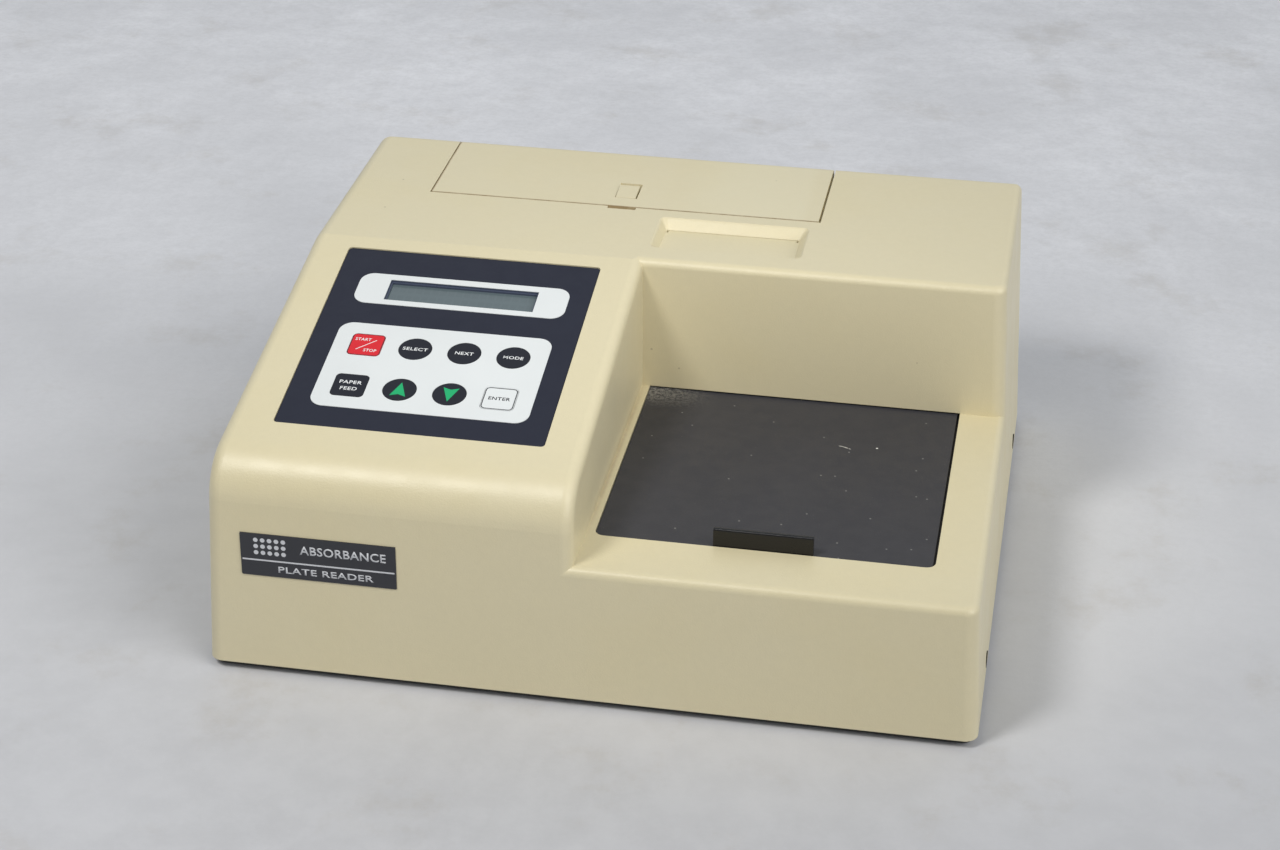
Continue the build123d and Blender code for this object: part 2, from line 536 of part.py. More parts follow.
rocker -= rod_x(-108, -94, 0, 0, 1.0 + RUN)
save("switch_rocker", Pos(0, SWITCH_Y, SWITCH_Z) * Rot(-SWITCH_TILT, 0, 0) * rocker)
ports = []
for cx, w in PORTS:
    port = block(cx - w / 2, cx + w / 2, 120, PANEL_Y + 2, 22.5, 32.5)
    port += block(cx - w / 2 - 3, cx + w / 2 + 3, PANEL_Y + 2, PANEL_Y + 2.8, 21, 34)
    port += block(cx - w / 2 + 0.5, cx + w / 2 - 0.5, PANEL_Y + 2.8, PANEL_Y + 6, 23.5, 31.5)
    port -= block(cx - w / 2 + 1.5, cx + w / 2 - 1.5, PANEL_Y + 3, PANEL_Y + 7, 24.5, 30.5)
    ports.append(port)
save("data_ports", *ports)

fan = block(FAN_X - 17, FAN_X + 17, 120, PANEL_Y, FAN_Z - 17, FAN_Z + 17)
fan -= rod_y(110, 140, FAN_X, FAN_Z, FAN_R)
fan += block(FAN_X - 1.2, FAN_X + 1.2, 128.4, PANEL_Y, FAN_Z - 16, FAN_Z + 16)
fan += block(FAN_X - 16, FAN_X + 16, 128.4, PANEL_Y, FAN_Z - 1.2, FAN_Z + 1.2)
fan += rod_y(128.4, PANEL_Y, FAN_X, FAN_Z, 7) + rod_y(120.5, 129, FAN_X, FAN_Z, 1.5)
save("fan_frame", fan)
impeller = rod_y(120.6, 128, FAN_X, FAN_Z, 7.5)
for i in range(7):
    turn = Pos(FAN_X, 124.3, FAN_Z) * Rot(0, 360 * i / 7, 0)
    blade = turn * Pos(10.8, 0, 0) * Rot(35, 0, 0) * Box(7.6, 7.6, 1.0)
    impeller += blade & block(FAN_X - 30, FAN_X + 30, 120.8, 127.9, 0, 150)
impeller -= rod_y(110, 140, FAN_X, FAN_Z, 1.5 + RUN)
save("fan_impeller", impeller)
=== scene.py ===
from math import cos, sin, tan, radians, pi

import bmesh
import bpy
from mathutils import Matrix, Vector


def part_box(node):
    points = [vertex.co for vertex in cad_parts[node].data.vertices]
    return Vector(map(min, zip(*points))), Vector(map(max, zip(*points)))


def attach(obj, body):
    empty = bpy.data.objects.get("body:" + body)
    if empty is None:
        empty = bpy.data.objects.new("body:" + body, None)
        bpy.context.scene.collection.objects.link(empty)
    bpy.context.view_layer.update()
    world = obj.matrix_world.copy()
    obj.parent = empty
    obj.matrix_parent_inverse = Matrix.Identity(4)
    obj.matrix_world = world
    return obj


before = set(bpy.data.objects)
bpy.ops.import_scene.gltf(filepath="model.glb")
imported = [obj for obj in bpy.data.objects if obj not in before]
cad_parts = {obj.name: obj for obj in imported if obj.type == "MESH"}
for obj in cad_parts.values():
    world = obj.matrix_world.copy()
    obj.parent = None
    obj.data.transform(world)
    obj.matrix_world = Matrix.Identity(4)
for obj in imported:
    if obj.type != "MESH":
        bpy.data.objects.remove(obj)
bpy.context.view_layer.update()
MM = 0.001


# ------------------------------------------------------------------ materials
def linear(r, g, b):
    """Scene-linear colour from an ordinary 0-255 colour."""
    def one(v):
        v /= 255.0
        return v / 12.92 if v <= 0.04045 else ((v + 0.055) / 1.055) ** 2.4
    return (one(r), one(g), one(b), 1.0)


class Nodes:
    """Short way to write a procedural material."""

    def __init__(self, name):
        self.mat = bpy.data.materials.new(name)
        self.mat.use_nodes = True
        self.tree = self.mat.node_tree
        self.tree.nodes.clear()
        self.shader = self.node("ShaderNodeBsdfPrincipled")
        out = self.node("ShaderNodeOutputMaterial")
        self.link(self.shader.outputs[0], out.inputs["Surface"])
        self.coord = self.node("ShaderNodeTexCoord").outputs["Object"]

    def node(self, kind, **settings):
        made = self.tree.nodes.new(kind)
        for key, value in settings.items():
            setattr(made, key, value)
        return made

    def link(self, a, b):
        self.tree.links.new(a, b)

    def put(self, socket, value):
        if hasattr(value, "is_linked"):
            self.link(value, socket)
        else:
            socket.default_value = value

    def mapped(self, scale=(1, 1, 1), offset=(0, 0, 0)):
        made = self.node("ShaderNodeMapping")
        made.inputs["Location"].default_value = offset
        made.inputs["Scale"].default_value = scale
        self.link(self.coord, made.inputs["Vector"])
        return made.outputs[0]

    def noise(self, scale, detail=2.0, rough=0.5, vector=None):
        made = self.node("ShaderNodeTexNoise")
        made.inputs["Scale"].default_value = scale
        made.inputs["Detail"].default_value = detail
        made.inputs["Roughness"].default_value = rough
        self.link(vector or self.coord, made.inputs["Vector"])
        return made.outputs["Fac"]

    def voronoi(self, scale, vector=None, dimensions="3D"):
        made = self.node("ShaderNodeTexVoronoi", voronoi_dimensions=dimensions)
        made.inputs["Scale"].default_value = scale
        self.link(vector or self.coord, made.inputs["Vector"])
        return made

    def math(self, how, a, b=0.0):
        made = self.node("ShaderNodeMath", operation=how)
        self.put(made.inputs[0], a)
        self.put(made.inputs[1], b)
        return made.outputs[0]

    def times(self, first, *others):
        for other in others:
            first = self.math("MULTIPLY", first, other)
        return first

    def minus(self, a, b):
        return self.math("SUBTRACT", a, b)

    def span(self, value, lo, hi, to_lo=0.0, to_hi=1.0):
        made = self.node("ShaderNodeMapRange", interpolation_type="SMOOTHSTEP")
        for i, v in enumerate((value, lo, hi, to_lo, to_hi)):
            self.put(made.inputs[i], v)
        return made.outputs[0]

    def mix(self, fac, a, b, how="MIX"):
        made = self.node("ShaderNodeMix", data_type="RGBA", blend_type=how)
        self.put(made.inputs[0], fac)
        self.put(made.inputs[6], a)
        self.put(made.inputs[7], b)
        return made.outputs[2]

    def rare_dots(self, cells, core, edge, channel, above):
        """1 at the few voronoi points whose random colour channel is above a level, fading to the edge."""
        near = self.span(cells.outputs["Distance"], core, edge, 1.0, 0.0)
        split = self.node("ShaderNodeSeparateColor")
        self.link(cells.outputs["Color"], split.inputs[0])
        return self.times(near, self.math("GREATER_THAN", split.outputs[channel], above))

    def axis(self, i):
        made = self.node("ShaderNodeSeparateXYZ")
        self.link(self.coord, made.inputs[0])
        return made.outputs[i]

    def bump(self, height, distance, strength=1.0):
        made = self.node("ShaderNodeBump")
        made.inputs["Strength"].default_value = strength
        made.inputs["Distance"].default_value = distance
        self.link(height, made.inputs["Height"])
        self.link(made.outputs[0], self.shader.inputs["Normal"])

    def finish(self, color, rough, metallic=0.0, **extra):
        self.put(self.shader.inputs["Base Color"], color)
        self.put(self.shader.inputs["Roughness"], rough)
        self.shader.inputs["Metallic"].default_value = metallic
        for key, value in extra.items():
            self.shader.inputs[key].default_value = value
        return self.mat


def shade(color, k):
    """The colour made darker or brighter by a factor."""
    return (color[0] * k, color[1] * k, color[2] * k, 1.0)


def moulded(name, color, rough=0.45, vary=0.06, grain=1600.0, depth=0.03 * MM):
    """Moulded plastic: fine spark texture, slow colour drift, a few specks."""
    m = Nodes(name)
    drift = m.noise(14.0, 3.0)
    tint = m.mix(drift, shade(color, 1 - vary), shade(color, 1 + vary))
    specks = m.span(m.noise(900.0, 2.0, 0.7), 0.74, 0.80)
    tint = m.mix(m.times(specks, 0.35), tint, shade(color, 0.45))
    roughness = m.span(m.noise(55.0, 4.0), 0.3, 0.7, rough - 0.05, rough + 0.06)
    m.bump(m.noise(grain, 3.0, 0.6), depth)
    return m.finish(tint, roughness)


def brushed(name, color, rough=0.3, along=(1, 1, 1), metallic=1.0):
    """Metal with fine drawn lines along one axis and dull patches."""
    m = Nodes(name)
    lines = m.noise(900.0, 3.0, 0.6, m.mapped(along))
    tint = m.mix(lines, shade(color, 0.82), shade(color, 1.1))
    roughness = m.span(m.noise(80.0, 3.0), 0.3, 0.7, rough - 0.06, rough + 0.12)
    m.bump(lines, 0.012 * MM)
    return m.finish(tint, roughness, metallic)


def film(name, color, rough=0.38, vary=0.05, dust=0.0, **extra):
    """Printed plastic film: faint orange peel, light handling marks."""
    m = Nodes(name)
    tint = m.mix(m.noise(30.0, 4.0), shade(color, 1 - vary), shade(color, 1 + vary))
    if dust:
        marks = m.span(m.noise(700.0, 3.0, 0.75), 0.70, 0.78)
        tint = m.mix(m.times(marks, dust), tint, linear(190, 190, 188))
    roughness = m.span(m.noise(90.0, 5.0, 0.6), 0.3, 0.7, rough - 0.05, rough + 0.09)
    m.bump(m.noise(1100.0, 2.0), 0.01 * MM)
    return m.finish(tint, roughness, **extra)


CREAM = linear(220, 210, 177)
YELLOWED = linear(214, 198, 144)
BROWN_MARK = linear(120, 104, 74)
# a lighter cream, for a pale patch on the lid
LIGHTER_CREAM = linear(226, 219, 190)
# the last colour is painted shade, for creases and seams
PAINTED_SHADE_BROWN = linear(142, 114, 74)


def band(m, i, centre, half):
    """1 on the plane at centre across axis i, fading to 0 at half to each side."""
    away = m.math("ABSOLUTE", m.minus(m.axis(i), centre))
    return m.span(away, half * 0.3, half, 1.0, 0.0)


def housing_material(name, seed=0.0, patch=None, painted_shade=()):
    """Aged cream plastic: fine texture, slow yellowing, small marks, a lighter patch and painted brown
    shade along creases and seams.

    The patch is its left and right edge. Each painted-shade entry is how strong the painted
    shade is, and the (axis, centre, half) bands whose product is where it lies.
    """
    m = Nodes(name)
    place = m.mapped(offset=(seed, seed * 0.7, seed * 0.3))
    slow = m.noise(6.0, 3.0, 0.55, place)
    tint = m.mix(slow, shade(CREAM, 0.955), shade(CREAM, 1.03))
    yellow = m.span(m.noise(11.0, 4.0, 0.6, place), 0.42, 0.75, 0.0, 0.16)
    tint = m.mix(yellow, tint, YELLOWED)
    mottled = m.span(m.noise(300.0, 4.0, 0.7, place), 0.35, 0.65, 0.0, 0.10)
    tint = m.mix(mottled, tint, shade(CREAM, 0.84))
    marks = m.rare_dots(m.voronoi(85.0, place), 0.030, 0.055, 0, 0.90)
    tint = m.mix(m.times(marks, 0.4), tint, BROWN_MARK)
    if patch:
        left, right = patch
        fade_in = m.span(m.axis(0), left, left + 30 * MM)
        fade_out = m.span(m.axis(0), right - 6 * MM, right, 1.0, 0.0)
        tint = m.mix(m.times(fade_in, fade_out, 0.30), tint, LIGHTER_CREAM)
    # painted shade: brown darkening along creases and seams, where the bands put it
    for weight, bands in painted_shade:
        shade_amount = m.span(m.noise(160.0, 5.0, 0.7), 0.25, 0.6, 0.35 * weight, 0.75 * weight)
        for i, centre, half in bands:
            shade_amount = m.times(shade_amount, band(m, i, centre, half))
        tint = m.mix(shade_amount, tint, PAINTED_SHADE_BROWN)
    roughness = m.span(m.noise(40.0, 5.0, 0.6, place), 0.3, 0.7, 0.33, 0.44)
    grain = m.noise(1500.0, 3.0, 0.6, place)
    waves = m.noise(45.0, 2.0, 0.5, place)
    m.bump(m.math("ADD", grain, m.times(waves, 1.2)), 0.11 * MM, 0.9)
    return m.finish(tint, roughness, IOR=1.6)


# the cover's scratch starts here, in from its left and rear edges, and falls as it runs to the right
SCRATCH_X, SCRATCH_Y = 91.1 * MM, -42.1 * MM
SCRATCH_RUN, SCRATCH_DROP = 6.2 * MM, 0.42
SCRATCH_FADE = 1.2 * MM
# the white fleck is a round spot to the right of it
FLECK_X, FLECK_Y, FLECK_R = SCRATCH_X + 16.8 * MM, -41.9 * MM, 0.45 * MM


def scratch_mask(m, x, y):
    """1 on a thin, broken, slightly wavy line that fades at both ends."""
    along = m.minus(x, SCRATCH_X)
    line_y = m.math("ADD", m.times(along, -SCRATCH_DROP), SCRATCH_Y)
    wobble = m.times(m.minus(m.noise(300.0, 3.0), 0.5), 2 * MM)
    off = m.math("ABSOLUTE", m.minus(m.minus(y, line_y), wobble))
    line = m.span(off, 0.10 * MM, 0.42 * MM, 1.0, 0.0)
    start = m.span(along, 0.0, SCRATCH_FADE)
    end = m.span(along, SCRATCH_RUN - SCRATCH_FADE, SCRATCH_RUN, 1.0, 0.0)
    broken = m.span(m.noise(1100.0, 3.0), 0.34, 0.5)
    return m.times(line, start, end, broken)


def fleck_mask(m, x, y):
    """1 inside a small round spot."""
    dx = m.minus(x, FLECK_X)
    dy = m.minus(y, FLECK_Y)
    return m.math("LESS_THAN", m.math("ADD", m.times(dx, dx), m.times(dy, dy)), FLECK_R ** 2)


def cover_material(lo, hi):
    """Dark matt cover: grey speckle, a dusty rear-left corner, one short scratch and a white fleck."""
    m = Nodes("cover_plastic")
    base = linear(61, 61, 66)
    tint = m.mix(m.noise(24.0, 5.0, 0.6), shade(base, 0.9), shade(base, 1.12))
    speck = m.span(m.noise(1300.0, 2.0, 0.7), 0.70, 0.78)
    tint = m.mix(m.times(speck, 0.26), tint, linear(146, 146, 144))
    # the dots are flat cells, because a solid pattern would rarely meet the cover's plane
    flecks = m.rare_dots(m.voronoi(95.0, dimensions="2D"), 0.02, 0.05, 1, 0.82)
    tint = m.mix(m.times(flecks, 0.45), tint, linear(176, 176, 172))
    # x runs right from the left edge, y back from the rear edge, so y is below zero on the cover
    x = m.minus(m.axis(0), lo.x)
    y = m.minus(m.axis(1), hi.y)
    corner = m.times(m.span(x, 4 * MM, 34 * MM, 1.0, 0.0), m.span(y, -26 * MM, -6 * MM))
    dust = m.times(corner, m.span(m.noise(620.0, 6.0, 0.8), 0.40, 0.62))
    tint = m.mix(m.times(dust, 0.62), tint, linear(188, 186, 180))
    tint = m.mix(m.times(scratch_mask(m, x, y), 0.85), tint, linear(206, 204, 198))
    tint = m.mix(fleck_mask(m, x, y), tint, linear(226, 226, 222))
    roughness = m.span(m.noise(120.0, 5.0), 0.3, 0.7, 0.42, 0.55)
    m.bump(m.noise(1500.0, 3.0, 0.6), 0.04 * MM)
    return m.finish(tint, roughness, IOR=1.33)


def board_material():
    """Green circuit board with fine tracks and small pads."""
    m = Nodes("circuit_board")
    brick = m.node("ShaderNodeTexBrick")
    brick.inputs["Scale"].default_value = 90.0
    brick.inputs["Mortar Size"].default_value = 0.06
    m.link(m.coord, brick.inputs["Vector"])
    green, track = linear(14, 74, 42), linear(30, 110, 62)
    tint = m.mix(brick.outputs["Fac"], green, track)
    dots = m.span(m.voronoi(260.0).outputs["Distance"], 0.16, 0.2, 1.0, 0.0)
    tint = m.mix(m.times(dots, 0.6), tint, linear(190, 186, 170))
    m.bump(dots, 0.05 * MM)
    return m.finish(tint, m.span(m.noise(60.0, 3.0), 0.3, 0.7, 0.3, 0.42))


def glass_material(name, color, rough=0.05, transmission=0.85):
    """Clear or tinted optical glass, a little smeared."""
    m = Nodes(name)
    tint = m.mix(m.noise(20.0, 3.0), shade(color, 0.94), shade(color, 1.04))
    roughness = m.span(m.noise(150.0, 5.0, 0.7), 0.45, 0.75, rough, rough + 0.08)
    return m.finish(tint, roughness, **{"Transmission Weight": transmission, "IOR": 1.5})


def display_material(lo, hi):
    """Grey-green reflective display: faint character cells in two rows."""
    m = Nodes("lcd_glass")
    columns, rows = 18.0, 2.0
    across = m.math("FRACT", m.times(m.minus(m.axis(0), lo.x), columns / (hi.x - lo.x)))
    up = m.math("FRACT", m.times(m.minus(m.axis(1), lo.y), rows / (hi.y - lo.y)))
    in_x = m.times(m.span(across, 0.08, 0.14), m.span(across, 0.86, 0.92, 1.0, 0.0))
    in_y = m.times(m.span(up, 0.14, 0.2), m.span(up, 0.82, 0.88, 1.0, 0.0))
    base = linear(92, 105, 110)
    tint = m.mix(m.noise(26.0, 3.0), shade(base, 0.9), shade(base, 1.08))
    tint = m.mix(m.times(in_x, in_y, 0.12), tint, shade(base, 0.6))
    return m.finish(tint, m.span(m.noise(300.0, 3.0), 0.3, 0.7, 0.14, 0.22), **{"Coat Weight": 0.4})


def paper_material():
    """White paper with fine fibres round the roll."""
    m = Nodes("paper")
    fibres = m.noise(1400.0, 5.0, 0.7, m.mapped((1, 4, 4)))
    tint = m.mix(fibres, linear(226, 225, 218), linear(244, 243, 238))
    m.bump(fibres, 0.03 * MM)
    return m.finish(tint, m.span(m.noise(200.0, 3.0), 0.3, 0.7, 0.6, 0.75))


# ----------------------------------------------------------- node assignments
lcd_lo, lcd_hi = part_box("lcd_glass")
lid_lo, lid_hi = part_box("printer_lid")
cover_lo, cover_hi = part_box("slide_cover")
cover_mid_y = (cover_lo.y + cover_hi.y) / 2

# painted shade lies along the foot of the side wall beside the cover, and along the lid's front and left
# seams
FOOT_BANDS = [(0, cover_lo.x - 1.3 * MM, 1.9 * MM), (1, cover_mid_y, 78 * MM), (2, cover_hi.z, 6.0 * MM)]
WALL_FOOT_SHADE = [(0.45, FOOT_BANDS)]
LID_SEAM_SHADE = [(1.0, [(1, lid_lo.y, 0.8 * MM)]), (1.0, [(0, lid_lo.x, 0.7 * MM)])]
LID_PATCH = (lid_hi.x - 70 * MM, lid_hi.x - 4 * MM)
material_of = {
    "top_housing": housing_material("housing_plastic", painted_shade=WALL_FOOT_SHADE),
    "printer_lid": housing_material("lid_plastic", 0.37, LID_PATCH, LID_SEAM_SHADE),
    "lid_latch": housing_material("latch_plastic", 0.81),
    "base_tray": moulded("base_plastic", linear(30, 30, 29), 0.6),
    "feet": moulded("foot_rubber", linear(24, 24, 24), 0.8, grain=700.0, depth=0.06 * MM),
    "side_screws": brushed("black_screw", linear(40, 40, 40), 0.4, (6, 1, 1)),
    "rear_panel": brushed("panel_aluminium", linear(176, 178, 180), 0.36, (0.08, 1, 1)),
    "nameplate": film("label_film", linear(48, 49, 55), 0.42, dust=0.12),
    "keypad_overlay": film("keypad_film", linear(29, 32, 48), 0.42, dust=0.05, IOR=1.42),
    "key_panel": film("white_film", linear(222, 226, 228), 0.42),
    "key_domes": brushed("dome_steel", linear(190, 190, 188), 0.25),
    "lcd_module": moulded("lcd_frame", linear(74, 82, 102), 0.3),
    "lcd_glass": display_material(lcd_lo, lcd_hi),
    "slide_cover": cover_material(*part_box("slide_cover")),
    "cover_grip": moulded("grip_plastic", linear(13, 13, 17), 0.3, 0.1, 900.0, 0.09 * MM),
    "cover_rails": moulded("rail_plastic", linear(214, 213, 206), 0.4),
    "plate_carrier": brushed("carriage_alloy", linear(44, 44, 48), 0.42, (1, 0.1, 1)),
    "plate_clamp": brushed("spring_steel", linear(180, 180, 178), 0.25),
    "guide_rods": brushed("rod_steel", linear(200, 201, 203), 0.18, (1, 0.05, 1)),
    "rod_brackets": brushed("bracket_alloy", linear(176, 178, 180), 0.36, (0.1, 1, 1)),
    "carriage_nut": moulded("nut_plastic", linear(226, 223, 212), 0.4),
    "carriage_motor": moulded("motor_steel", linear(44, 44, 46), 0.35),
    "channel_lenses": glass_material("lens_glass", (0.9, 0.95, 0.96, 1)),
    "filter_glasses": glass_material("filter_glass", (0.42, 0.30, 0.72, 1), 0.03, 0.6),
    "fibre_bundle": moulded("fibre_jacket", linear(30, 30, 31), 0.6),
    "lamp_house": brushed("lamp_housing", linear(150, 152, 154), 0.4, (1, 1, 0.1)),
    "printer_frame": moulded("printer_plastic", linear(92, 92, 94), 0.5),
    "print_head": brushed("head_metal", linear(160, 160, 158), 0.3, (0.1, 1, 1)),
    "platen_roller": moulded("platen_rubber", linear(34, 34, 35), 0.75, grain=900.0, depth=0.05 * MM),
    "paper_roll": paper_material(),
    "transformer": brushed("transformer_iron", linear(70, 62, 56), 0.55, (8, 1, 1), 0.6),
    "power_inlet": moulded("connector_plastic", linear(28, 28, 28), 0.3),
    "data_ports": brushed("connector_metal", linear(196, 196, 192), 0.25),
    "switch_rocker": moulded("rocker_plastic", linear(30, 30, 31), 0.25),
    "fan_frame": moulded("fan_plastic", linear(34, 34, 35), 0.5),
    "main_board": board_material(),
    "key_start_stop": film("key_red", linear(214, 24, 38), 0.42),
    "key_select": film("key_black", linear(23, 25, 36), 0.42, dust=0.05, IOR=1.42),
    "key_enter": film("key_white", linear(223, 227, 229), 0.42),
}
# nodes made of the same stuff as another node
same_as = {
    "lcd_bezel": "key_panel", "keypad_board": "main_board", "detector_board": "main_board",
    "optics_bridge": "plate_carrier", "filter_wheel": "plate_carrier", "lead_screw": "guide_rods",
    "lid_hinge_pin": "guide_rods", "tear_bar": "top_housing", "lamp": "channel_lenses",
    "condenser_lens": "channel_lenses", "filter_motor": "carriage_motor", "printer_motor": "carriage_motor",
    "roll_spindle": "cover_rails", "power_switch": "power_inlet", "fan_impeller": "fan_frame",
    "key_next": "key_select", "key_mode": "key_select", "key_paper_feed": "key_select",
    "key_up": "key_select", "key_down": "key_select",
}
for node, other in same_as.items():
    material_of[node] = material_of[other]
for node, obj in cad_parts.items():
    obj.data.materials.clear()
    obj.data.materials.append(material_of[node])

# ------------------------------------------------------------- small graphics
PRINT = 0.03 * MM        # thickness of all printing
SLOPE = radians(11.0)
FILM_THICK = 1.4 * MM
KEY_TOP = 0.3 * MM       # tops of the keys, above the film
CAP_MIDDLE = 0.65 * MM   # middle of a key's cap, below the slope's surface
_, film_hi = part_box("keypad_overlay")
film_rear = film_hi.y - FILM_THICK * sin(SLOPE)
tilt = Matrix(((1, 0, 0), (0, cos(SLOPE), -sin(SLOPE)), (0, sin(SLOPE), cos(SLOPE)))).to_4x4()


def slope_place(x, y, lift):
    """Frame lying in the sloped film at x, y, with +Y up the slope."""
    z = film_hi.z - (film_rear - y) * tan(SLOPE) + lift / cos(SLOPE)
    return Matrix.Translation((x, y, z)) @ tilt


def key_centre(node):
    """Middle of a key, as x and y on the slope's surface."""
    lo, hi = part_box(node)
    return (lo.x + hi.x) / 2, (lo.y + hi.y) / 2 - CAP_MIDDLE * sin(SLOPE)


def add_piece(name, mesh, place, material, body):
    """Put a mesh made flat at the origin in its place, on a body."""
    obj = bpy.data.objects.new(name, mesh)
    bpy.context.collection.objects.link(obj)
    mesh.transform(place)
    mesh.materials.clear()
    mesh.materials.append(material)
    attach(obj, body)
    return obj


def in_metres(points, sign=1):
    """Points from millimetres, turned half round if the sign is -1."""
    return [(x * sign * MM, y * sign * MM) for x, y in points]


def flat_shape(points, holes=()):
    """Thin raised print in the shape of a closed outline."""
    curve = bpy.data.curves.new("outline", "CURVE")
    curve.dimensions = "2D"
    curve.fill_mode = "BOTH"
    curve.extrude = PRINT / 2
    for loop in (points, *holes):
        spline = curve.splines.new("POLY")
        spline.points.add(len(loop) - 1)
        for p, (x, y) in zip(spline.points, loop):
            p.co = (x, y, 0, 1)
        spline.use_cyclic_u = True
    obj = bpy.data.objects.new("outline", curve)
    mesh = bpy.data.meshes.new_from_object(obj)
    bpy.data.objects.remove(obj)
    return mesh


def rounded(width, height, r, steps=6):
    """Outline of a rounded rectangle, with steps to each corner."""
    loop = []
    for cx, cy, start in ((1, 1, 0), (-1, 1, 90), (-1, -1, 180), (1, -1, 270)):
        for i in range(steps + 1):
            a = radians(start + 90 * i / steps)
            loop.append((cx * (width / 2 - r) + r * cos(a), cy * (height / 2 - r) + r * sin(a)))
    return loop


def circle(r, sides=16):
    """Outline of a round dot."""
    return [(r * cos(2 * pi * i / sides), r * sin(2 * pi * i / sides)) for i in range(sides)]


def lettering(text, width, height):
    """A word as a thin raised mesh, centred, fitted to a width and height."""
    curve = bpy.data.curves.new("word", "FONT")
    curve.body = text
    curve.align_x = "CENTER"
    curve.resolution_u = 3
    curve.offset = 0.016  # thickens the strokes, in the font's own units
    curve.space_character = 1.06
    obj = bpy.data.objects.new("word", curve)
    mesh = bpy.data.meshes.new_from_object(obj)
    bpy.data.objects.remove(obj)
    xs = [v.co.x for v in mesh.vertices]
    ys = [v.co.y for v in mesh.vertices]
    sx, sy = width / (max(xs) - min(xs)), height / (max(ys) - min(ys))
    mx, my = (max(xs) + min(xs)) / 2, (max(ys) + min(ys)) / 2
    for v in mesh.vertices:
        v.co = ((v.co.x - mx) * sx, (v.co.y - my) * sy, 0)
    solid = bmesh.new()
    solid.from_mesh(mesh)
    bmesh.ops.remove_doubles(solid, verts=solid.verts, dist=1e-7)
    raised = bmesh.ops.extrude_face_region(solid, geom=solid.faces[:])["geom"]
    corners = [g for g in raised if isinstance(g, bmesh.types.BMVert)]
    bmesh.ops.translate(solid, vec=(0, 0, PRINT), verts=corners)
    bmesh.ops.recalc_face_normals(solid, faces=solid.faces[:])
    solid.to_mesh(mesh)
    solid.free()
    return mesh


ink_white = film("ink_white", linear(238, 240, 242), 0.45)
ink_dark = film("ink_dark", linear(34, 36, 44), 0.45)
ink_green = film("ink_green", linear(12, 170, 106), 0.45)
ink_pale = film("ink_pale", linear(206, 208, 214), 0.45)

# each word on a key: text, place right and up from the key's centre, width and height, in millimetres
WORDS = {
    "select": (("SELECT", 0, 0, 10.8, 2.0),),
    "next": (("NEXT", 0, 0, 7.9, 2.0),),
    "mode": (("MODE", 0, 0, 8.6, 2.0),),
    "paper_feed": (("PAPER", 0, 2.0, 9.6, 2.1), ("FEED", 0, -2.1, 7.2, 2.1)),
    "enter": (("ENTER", 0, 0, 9.2, 2.0),),
    "start_stop": (("START", -2.1, 3.5, 6.9, 1.9), ("STOP", 2.4, -3.5, 5.6, 1.9)),
}
for key, words in WORDS.items():
    x, y = key_centre("key_" + key)
    ink, slot = (ink_dark, "keypad_film") if key == "enter" else (ink_white, "white_film")
    for text, dx, dy, w, h in words:
        place = slope_place(x + dx * MM, y + dy * MM * cos(SLOPE), KEY_TOP)
        word = lettering(text, w * MM, h * MM)
        add_piece("legend_" + text.lower(), word, place, ink, "button_" + key)

DIVIDER = [(-3.9, -3.3), (-3.7, -3.6), (3.9, 3.3), (3.7, 3.6)]
x, y = key_centre("key_start_stop")
bar = flat_shape(in_metres(DIVIDER))
add_piece("legend_divider", bar, slope_place(x, y, KEY_TOP), ink_white, "button_start_stop")

ARROW = [(0, 4.7), (-3.4, -4.1), (0, -2.9), (3.4, -4.1)]
for key, sign in (("up", 1), ("down", -1)):
    x, y = key_centre("key_" + key)
    head = flat_shape(in_metres(ARROW, sign))
    add_piece("arrow_" + key, head, slope_place(x, y, KEY_TOP), ink_green, "button_" + key)

# thin dark outlines round the enter key and the red key: outer and inner width
for key, outer, inner in (("enter", 13.6, 12.75), ("start_stop", 13.9, 13.35)):
    x, y = key_centre("key_" + key)
    hole = rounded(inner * MM, inner * MM, 1.6 * MM)
    ring = flat_shape(rounded(outer * MM, outer * MM, 1.95 * MM), [hole])
    add_piece(key + "_outline", ring, slope_place(x, y, KEY_TOP), ink_dark, "button_" + key)

# nameplate print: a small grid of wells, two generic words and a dividing line
LEAN = 0.0339            # the housing's front face leans back by this angle, in radians
WELL_R, WELL_PITCH = 1.0, 2.9
WELL_X, WELL_Y = -26.0, 6.9
plate_lo, plate_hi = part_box("nameplate")
plate_mid = (plate_lo + plate_hi) / 2
plate_front = plate_lo.y + (plate_hi.z - plate_lo.z) / 2 * tan(LEAN)
plate_spot = Matrix.Translation((plate_mid.x, plate_front, plate_mid.z))
plate_face = plate_spot @ Matrix.Rotation(pi / 2 - LEAN, 4, "X")


def on_plate(name, mesh, dx, dy):
    """Print on the nameplate at dx, dy millimetres right and up from its middle."""
    place = plate_face @ Matrix.Translation((dx * MM, dy * MM, 0.01 * MM))
    add_piece(name, mesh, place, ink_pale, "chassis")


on_plate("plate_line", flat_shape(rounded(64.0 * MM, 0.7 * MM, 0.3 * MM, 2)), 0, -2.4)
on_plate("plate_word_upper", lettering("ABSORBANCE", 36.0 * MM, 4.0 * MM), 10.5, 4.0)
on_plate("plate_word_lower", lettering("PLATE READER", 40.0 * MM, 2.9 * MM), 3.0, -6.1)
for row in range(3):
    for col in range(5):
        well = flat_shape(circle(WELL_R * MM))
        on_plate(f"plate_well_{row}_{col}", well, WELL_X + WELL_PITCH * col, WELL_Y - WELL_PITCH * row)

# ---------------------------------------------------------- floor, light, view
FLOOR = 14.0             # half the floor's width, so large that its edge stays out of low views


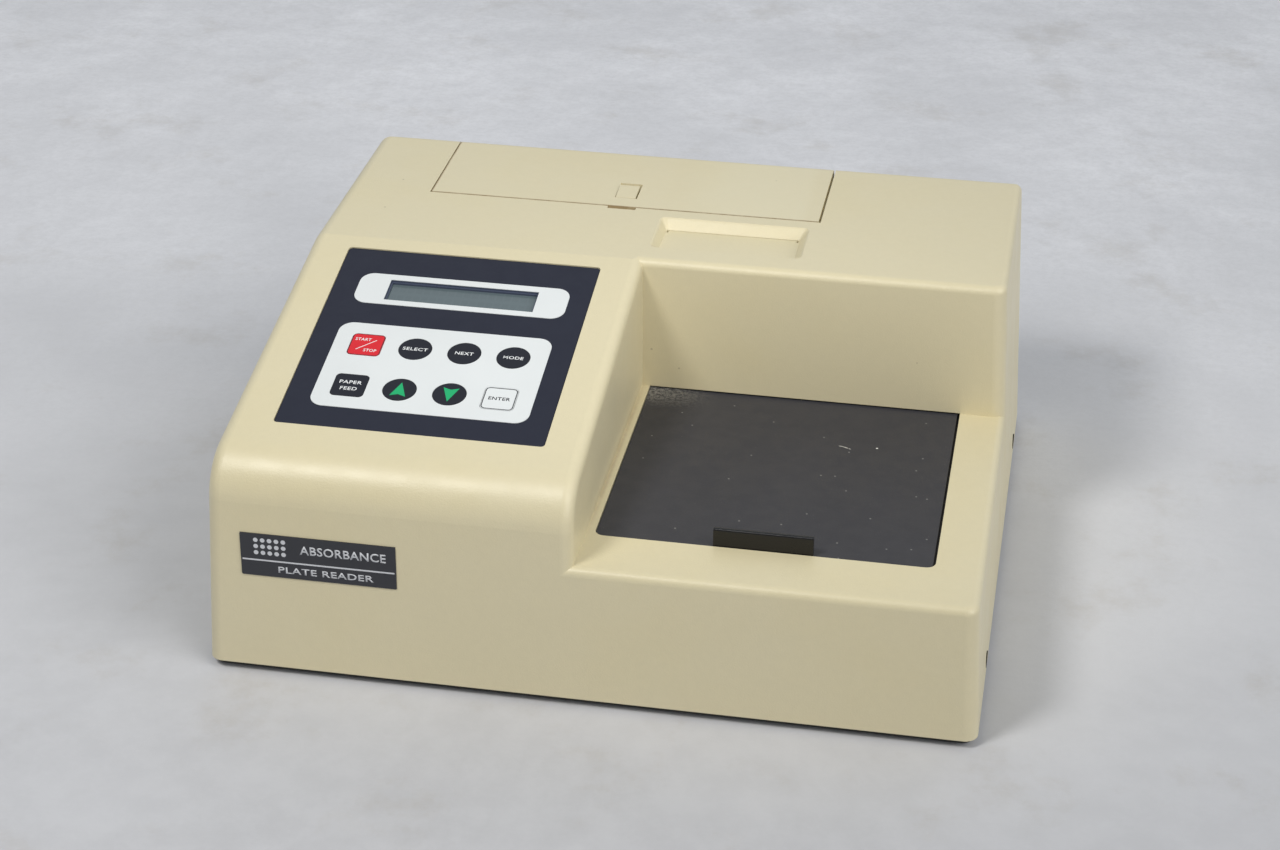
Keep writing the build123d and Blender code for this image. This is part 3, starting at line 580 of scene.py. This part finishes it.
def floor_material():
    """Pale mottled backdrop, with painted shade darkening it towards the front."""
    m = Nodes("floor")
    pale = linear(240, 241, 247)
    cloud = m.noise(7.0, 8.0, 0.62)
    tint = m.mix(m.span(cloud, 0.3, 0.7), shade(pale, 0.86), shade(pale, 1.03))
    # painted shade: the floor darkens towards the front
    front_shade = m.span(m.axis(1), -0.4, 0.7, 0.74, 0.0)
    tint = m.mix(front_shade, tint, shade(pale, 0.5))
    stain = m.span(m.noise(16.0, 9.0, 0.7, m.mapped(offset=(3, 1, 0))), 0.52, 0.72, 0.0, 0.30)
    tint = m.mix(stain, tint, linear(170, 162, 150))
    fine = m.span(m.noise(55.0, 7.0, 0.72), 0.36, 0.66, 0.0, 0.34)
    tint = m.mix(fine, tint, shade(pale, 0.74))
    veins = m.span(m.noise(240.0, 8.0, 0.8), 0.42, 0.62, 0.0, 0.22)
    tint = m.mix(veins, tint, shade(pale, 0.66))
    m.bump(m.noise(420.0, 4.0, 0.7), 0.2 * MM, 0.5)
    return m.finish(tint, 0.85)


corners = [(x * FLOOR, y * FLOOR, 0) for x, y in ((-1, -1), (1, -1), (1, 1), (-1, 1))]
floor_mesh = bpy.data.meshes.new("floor")
floor_mesh.from_pydata(corners, [], [(0, 1, 2, 3)])
floor_mesh.materials.append(floor_material())
floor = bpy.data.objects.new("floor", floor_mesh)
bpy.context.collection.objects.link(floor)


def add_light(name, kind, energy, color, **settings):
    """Light at the origin, which point_at then places."""
    data = bpy.data.lights.new(name, kind)
    data.energy = energy
    data.color = color
    for key, value in settings.items():
        setattr(data, key, value)
    obj = bpy.data.objects.new(name, data)
    bpy.context.collection.objects.link(obj)
    return obj


def point_at(obj, place, aim):
    obj.location = place
    obj.rotation_euler = (Vector(aim) - Vector(place)).to_track_quat("-Z", "Y").to_euler()


def soft_box(name, place, aim, watts, size, color):
    """Round soft box at place, which the camera does not see."""
    obj = add_light(name, "AREA", watts, color, shape="DISK", size=size)
    obj.visible_camera = False
    point_at(obj, place, aim)


WARM = (1.0, 0.985, 0.94)
fill = add_light("fill_right", "SUN", 1.50, WARM, angle=radians(50))
point_at(fill, (1.50, -0.78, 1.12), (0, 0, 0))
soft_box("key_left", (-0.55, -0.75, 1.30), (0, 0, 0.06), 9.8, 0.40, WARM)
soft_box("reflector", (0.05, -0.20, 0.34), (0.05, 0.10, 0.34), 0.33, 0.22, WARM)


def pale_surround():
    """World that is bright behind the object and dimmer on the camera's side of the room."""
    world = bpy.data.worlds.new("studio")
    world.use_nodes = True
    links, nodes = world.node_tree.links, world.node_tree.nodes
    background = nodes["Background"]
    direction = nodes.new("ShaderNodeTexCoord")
    split = nodes.new("ShaderNodeSeparateXYZ")
    ramp = nodes.new("ShaderNodeMapRange")
    ramp.interpolation_type = "SMOOTHSTEP"
    # from -0.3 to 0.7 towards the back, the strength goes from 0.13 to 0.62
    for i, value in enumerate((-0.3, 0.7, 0.13, 0.62), 1):
        ramp.inputs[i].default_value = value
    links.new(direction.outputs["Generated"], split.inputs[0])
    links.new(split.outputs[1], ramp.inputs[0])
    links.new(ramp.outputs[0], background.inputs["Strength"])
    background.inputs["Color"].default_value = (0.89, 0.945, 1.0, 1)
    return world


bpy.context.scene.world = pale_surround()
bpy.context.scene.view_settings.view_transform = "Standard"

EYE = Vector((0.18036, -1.00017, 0.63181))
AIM = Vector((0.00066, -0.01580, 0.06506))
ROLL = radians(0.15)
camera_data = bpy.data.cameras.new("camera")
camera_data.lens = 74.107
camera_data.sensor_width = 36.0
camera_data.sensor_fit = "HORIZONTAL"
camera_data.clip_start = 0.05
camera = bpy.data.objects.new("camera", camera_data)
bpy.context.collection.objects.link(camera)
turn = (AIM - EYE).to_track_quat("-Z", "Y").to_matrix().to_4x4()
camera.matrix_world = Matrix.Translation(EYE) @ turn @ Matrix.Rotation(ROLL, 4, "Z")
bpy.context.scene.camera = camera
